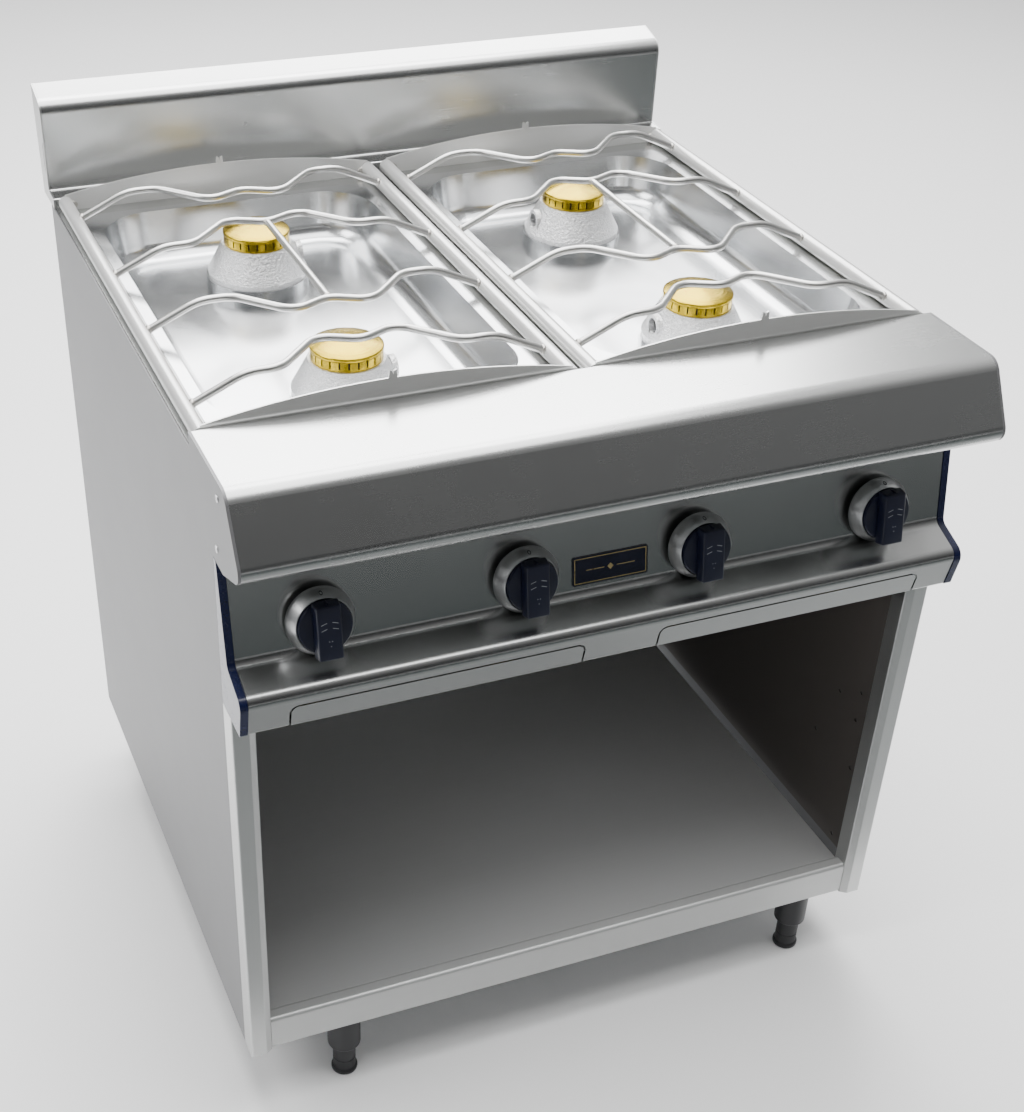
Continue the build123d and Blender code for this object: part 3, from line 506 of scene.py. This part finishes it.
# %% Bezels and zero marks
bm = bmesh.new()
panel_middle = DIAL_SEATS["mid_left"].copy()
panel_middle.translation.x = 0
for dial in DIALS:
    before = set(bm.verts)
    lathe(
        bm,
        [
            (13, 13.2), (13, 0.5), (25.5, 0.5), (25.5, 4.2), (31.5, 5.2), (33.6, 5.9), (34.5, 7.4),
            (34.5, 11.6), (34.1, 12.9), (29.2, 22.6), (28.5, 23.4),
            (27.9, 23.4), (27.5, 22.9), (27.5, 13.2), (13, 13.2),
        ],
        steps=96,
    )
    made = [v for v in bm.verts if v not in before]
    bmesh.ops.translate(bm, vec=(DIAL_SEATS[dial].translation.x / MM, 0, 0), verts=made)
bezels = piece("dial_bezels", bm, panel_middle, satin, "range", crease=28)
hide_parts("knob_bezels")
for dial in DIALS:
    bm = bmesh.new()
    lathe(bm, [(1.5, 0.0), (2.2, 0.0), (2.2, 0.25), (1.5, 0.25), (1.5, 0.0)], steps=24)
    bmesh.ops.scale(bm, vec=(0.8, 1.25, 1), verts=bm.verts)
    tilt = Matrix.Rotation(math.radians(-63), 4, "X")
    zero = DIAL_SEATS[dial] @ Matrix.Translation((0, 31.6 * MM, 17.9 * MM)) @ tilt
    piece(f"bezel_{dial}_zero", bm, zero, print_dark, "range")
print("bezels", tuple(round(s, 4) for s in bezels.dimensions))

# %% [markdown]
# ## Burner caps
# A cap is turned brass with a rolled rim, a shallow cone and a centre mark from the lathe. Under it, thin
# dark blocks set back inside the crown's slots are painted shade, which shows the slots' depth better
# than a darker metal would.

# %% Caps and painted slot shade
CROWN_SLOTS = 24
SLOT_DEPTH = 7.5
SLOT_SHADE_RADIUS = 33.9
for name, centre in BURNERS.items():
    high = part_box(f"burner_cap_{name}")[1]
    seat_z = (high.z - TOP) / MM - 12.0
    bm = bmesh.new()
    lathe(
        bm,
        [
            (0, seat_z), (27.5, seat_z), (27.5, seat_z - 3), (30.4, seat_z - 3), (30.4, seat_z),
            (37.0, seat_z), (37.6, seat_z + 0.3), (38.0, seat_z + 1.0),
            (38.0, seat_z + 3.4), (37.7, seat_z + 4.1),
            (36.9, seat_z + 4.6), (26, seat_z + 7.4), (12, seat_z + 10.6), (3.0, seat_z + 11.9),
            (1.6, seat_z + 11.9), (1.1, seat_z + 11.2), (0, seat_z + 10.9),
        ],
        steps=120,
    )
    cap = piece(
        f"cap_{name}_turned", bm, Matrix.Translation(centre), brass, f"cap_{name}", crease=50
    )
    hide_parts(f"burner_cap_{name}")
    bm = bmesh.new()
    # Dark blocks in the crown slots: painted shade for the slots' depth.
    for i in range(CROWN_SLOTS):
        turn = math.tau * i / CROWN_SLOTS
        middle = (SLOT_SHADE_RADIUS * math.cos(turn), SLOT_SHADE_RADIUS * math.sin(turn), seat_z - SLOT_DEPTH / 2)
        block(bm, (4.2, 1.7, SLOT_DEPTH - 0.3), middle, edge=0.2, turn=turn, segments=1)
    piece(f"crown_{name}_soot", bm, Matrix.Translation(centre), painted_slot_shade, "range")
print("caps", len(BURNERS))

# %% [markdown]
# ## Grate welds
# A grate is welded from bar. There is a bead where each rod meets a rail, where the link meets its rods,
# and where a rail meets an end plate. A squashed ball, sunk halfway, is enough at this size.

# %% Weld beads
ROD_ROWS = (58, 228, 374, 544)
for side, sign in SIDES.items():
    bm = bmesh.new()
    for end in (-1, 1):
        for dy in ROD_ROWS:
            blob(bm, (sign * BURNER_X + end * 180.6, dy, -3.6), (3.4, 5.6, 5.0))
        for dy in (6, 601):
            blob(bm, (sign * BURNER_X + end * 183.0, dy, -9.5), (9.5, 2.6, 5.5))
    for dy in (196.5, 405.5):
        blob(bm, (sign * BURNER_X, dy, 20), (5.2, 3.6, 4.6))
    middle = Matrix.Translation(hob(0, 0, 0))
    piece(f"grate_{side}_welds", bm, middle, weld_steel, f"grate_{side}")
print("weld beads per grate", 2 * len(ROD_ROWS) + 6)

# %% [markdown]
# ## Screws
# Pan-head screws hold the rail's end caps and the back panel. One function makes the head and its cross,
# and the heads are then placed by loops.

# %% Rail-end and back screws
def screw(bm, centre, out, head=4.2):
    """A pan-head screw with a cross recess, set on a face."""
    before = set(bm.verts)
    dome = [(0, -0.4), (head, -0.4), (head, 0.35), (head * 0.9, 0.85), (head * 0.6, 1.12), (0, 1.2)]
    lathe(bm, dome, steps=32)
    for turn in (0.4, 0.4 + math.pi / 2):
        block(bm, (head * 1.05, 0.8, 0.25), (0, 0, 1.13), edge=0.08, turn=turn, segments=2)
    made = [v for v in bm.verts if v not in before]
    bmesh.ops.transform(bm, matrix=seat(centre, out), verts=made)


bm = bmesh.new()
for sign in SIDES.values():
    for dy, dz in ((-95.0, -17.5), (-83.0, -76.5)):
        screw(bm, Vector((sign * 400, dy, dz)), (sign, 0, 0), head=4.0)
hob_origin = Matrix.Translation(hob(0, 0, 0))
end_screws = piece("rail_end_screws", bm, hob_origin, screw_steel, "range")
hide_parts("end_screws")
bm = bmesh.new()
back_face = (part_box("back_panel")[1].y - EDGE) / MM
for dx in (-380, -130, 130, 380):
    for dz in (-60, -400, -720):
        if abs(dx) > 200 or dz != -400:
            screw(bm, Vector((dx, back_face, dz)), (0, 1, 0), head=4.5)
piece("back_screws", bm, hob_origin, screw_steel, "range")
print("screws set")

# %% [markdown]
# ## Badge
# The plate between the middle knobs is plain navy with a thin gold border and a lozenge. It carries no
# lettering. The lines are thin raised blocks, so that they show from the side as well.

# %% Badge border
low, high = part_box("badge_plate")
badge_out = JOINTS["knob_mid_left_turn"]["axis"]
badge_seat = seat(((low + high) / 2), badge_out)
bm = bmesh.new()
for sign in (-1, 1):
    block(bm, (80, 0.9, 0.4), (0, sign * 13.2, 0.7), edge=0.12)
    block(bm, (0.9, 26.4, 0.4), (sign * 39.6, 0, 0.7), edge=0.12)
block(bm, (5, 5, 0.4), (0, 0, 0.7), edge=0.12, turn=math.pi / 4)
for sign in (-1, 1):
    block(bm, (20, 0.8, 0.4), (sign * 17, 0, 0.7), edge=0.12)
piece("badge_border", bm, badge_seat, gold, "range")

# %% [markdown]
# ## Feet
# Each lower foot is a turned plastic cup with a flange at the floor and a groove to grip. It moves in a
# sleeve, so the profile ends in a narrow stem that stays inside.

# %% Screwed feet
for name in BURNERS:
    low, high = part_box(f"foot_{name}")
    centre = (low + high) / 2
    bm = bmesh.new()
    lathe(
        bm,
        [
            (0, 0), (13.4, 0), (15.2, 1.0), (15.5, 2.2), (15.5, 5.0), (14.6, 6.2), (13.5, 7.0), (13.5, 20),
            (12.9, 20.6), (12.9, 22.4), (13.5, 23.0), (13.5, 43.9), (8, 43.9), (8, 86), (0, 86),
        ],
        steps=48,
    )
    foot = piece(
        f"foot_{name}_turned", bm, Matrix.Translation((centre.x, centre.y, 0)), black,
        f"foot_{name}",
    )
    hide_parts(f"foot_{name}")

# %% [markdown]
# ## Gas inlet thread
# A pipe thread seen from a few metres is a row of ridges. Rings are used instead of a true helix, since
# they close cleanly and can be spun in one step.

# %% Inlet thread
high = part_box("gas_inlet")[1]
INLET_X = 338
INLET_DROP = 178
THREAD_BACK = 24.2
THREAD_STEP = 0.9
THREAD_STEPS = 26
ridges = [(9.9 + 0.58 * (i % 2), i * THREAD_STEP) for i in range(THREAD_STEPS + 1)]
bm = bmesh.new()
lathe(bm, [(7.6, 0)] + ridges + [(7.6, THREAD_STEPS * THREAD_STEP), (7.6, 0)], steps=64)
inlet_centre = Vector((INLET_X * MM, high.y - THREAD_BACK * MM, TOP - INLET_DROP * MM))
piece("inlet_thread", bm, seat(inlet_centre, (0, 1, 0)), valve_brass, "range", crease=20)

# %% [markdown]
# ## Floor
# A plain pale floor, matt enough to give a soft reflection and no mirror image.

# %% Studio floor
floor_finish = Finish("pale_floor", Specular_IOR_Level=0.2)
clouds = floor_finish.noise((1.5, 1.5, 1.5), detail=2.0)
floor_finish.join("Base Color", floor_finish.tones(clouds, (0.92, 0.92, 0.92), (0.95, 0.95, 0.95)))
floor_finish.join("Roughness", 0.7 + 0.1 * clouds)


def studio_sheet(name, half_x, half_y, middle, finish):
    """A flat sheet of the studio, in metres, that is no part of the range."""
    bm = bmesh.new()
    bmesh.ops.create_grid(bm, x_segments=2, y_segments=2, size=1.0)
    bmesh.ops.scale(bm, vec=(half_x, half_y, 1), verts=bm.verts)
    bmesh.ops.translate(bm, vec=middle, verts=bm.verts)
    mesh = bpy.data.meshes.new(name)
    bm.to_mesh(mesh)
    bm.free()
    made = bpy.data.objects.new(name, mesh)
    bpy.context.scene.collection.objects.link(made)
    made.data.materials.append(finish.material)
    return made


floor = studio_sheet("studio_floor", 9.0, 9.0, (0, 0, 0), floor_finish)
print("floor", tuple(floor.dimensions))

# %% [markdown]
# ## Sky
# Steel has no colour of its own and shows what is round it. The sky is a ramp from grey at the horizon
# to white above, and it is dimmed behind the cook, so that the front panels go dark.

# %% Sky
world = bpy.data.worlds.new("studio")
bpy.context.scene.world = world
world.use_nodes = True
sky = Wiring(world.node_tree)
toward = sky.node("ShaderNodeTexCoord", "Generated")
upward = sky.node("ShaderNodeSeparateXYZ", "Z", Vector=toward)
rearward = sky.node("ShaderNodeSeparateXYZ", "Y", Vector=toward)
height = sky.node("ShaderNodeMapRange", 0, Value=upward, From_Min=-1.0, From_Max=1.0)
SKY_STOPS = ((0.46, (0.22, 0.24, 0.25, 1)), (0.82, (1.0, 1.0, 1.0, 1)))
tone = sky.node("ShaderNodeValToRGB", 0, stops=SKY_STOPS, Fac=height)
depth = sky.node("ShaderNodeMapRange", 0, Value=rearward, From_Min=-0.9, From_Max=0.35, To_Min=0.13)
dimmed = sky.node("ShaderNodeMix", 2, data_type="RGBA", blend_type="MULTIPLY", Factor=1.0, A=tone, B=depth)
background = world.node_tree.nodes["Background"]
world.node_tree.links.new(dimmed.socket, background.inputs["Color"])
background.inputs["Strength"].default_value = 0.9
print("sky nodes", len(world.node_tree.nodes))

# %% [markdown]
# ## Softboxes
# Large area lights give broad, soft highlights on folded edges. One small strip hangs under the panel
# and lights the front of the shelf, leaving the back of the cabinet dark.

# %% Softboxes
def softbox(name, place, aim, size, power):
    light = bpy.data.lights.new(name, "AREA")
    light.shape = "RECTANGLE"
    light.size, light.size_y = size
    light.energy = power
    made = bpy.data.objects.new(name, light)
    made.location = place
    made.rotation_euler = (Vector(aim) - Vector(place)).to_track_quat("-Z", "Y").to_euler()
    bpy.context.scene.collection.objects.link(made)
    print(name, power, "W")


softbox("key_left", (-2.6, 0.2, 3.1), (0, 0, 0.7), (1.8, 1.8), 75)
softbox("over_hob", (0.2, 1.2, 3.4), (0, 0, 0.8), (2.6, 1.4), 120)
softbox("floor_wash", (0.3, -0.6, 4.6), (0.3, -0.4, 0), (3.0, 3.0), 150)
softbox("cabinet_fill", (0.05, -0.37, 0.54), (0.05, -0.36, 0.0), (0.6, 0.05), 0.9)
softbox("back_sky", (1.0, 3.4, 3.2), (0, 0, 0.8), (3.2, 1.6), 200)

# %% [markdown]
# ## Grey card
# A card lies on the floor in front of the cook. It is hidden from the camera and seen only in
# reflections, where it gives the rail's slope its dark tone.

# %% Grey card
flag_finish = Finish("flag_grey", Specular_IOR_Level=0.0)
flag_tone = flag_finish.noise((0.8, 0.8, 0.8), detail=1.0)
away = flag_finish.node("ShaderNodeSeparateXYZ", "Y", Vector=flag_finish.place)
fade = flag_finish.node("ShaderNodeMapRange", 0, Value=away, From_Min=-1.9, From_Max=-0.5)
flag_finish.join("Base Color", flag_finish.tones(fade, (0.035, 0.045, 0.045), (0.34, 0.35, 0.35)))
flag_finish.join("Roughness", 0.9 + 0.05 * flag_tone)
flag = studio_sheet("studio_flag", 3.0, 1.8, (0.6, -2.3, 0.004), flag_finish)
flag.visible_camera = False
flag.visible_diffuse = False
flag.visible_shadow = False
print("flag", tuple(round(s, 2) for s in flag.dimensions))

# %% [markdown]
# ## Camera
# The camera stands a little to the left of the range and looks down on it. A small lens shift frames
# the range without turning the camera.

# %% Camera
camera = bpy.data.objects.new("camera", bpy.data.cameras.new("camera"))
camera.data.lens = 55.61
camera.data.sensor_width = 36.0
camera.data.shift_x = 0.0702
camera.data.shift_y = 0.1251
camera.data.dof.use_dof = False
camera.location = (-0.71325, -1.63629, 1.58973)
camera.rotation_euler = (0.926765, -0.020989, -0.37295)
bpy.context.scene.collection.objects.link(camera)
bpy.context.scene.camera = camera
print("camera", camera.data.lens, "mm lens")
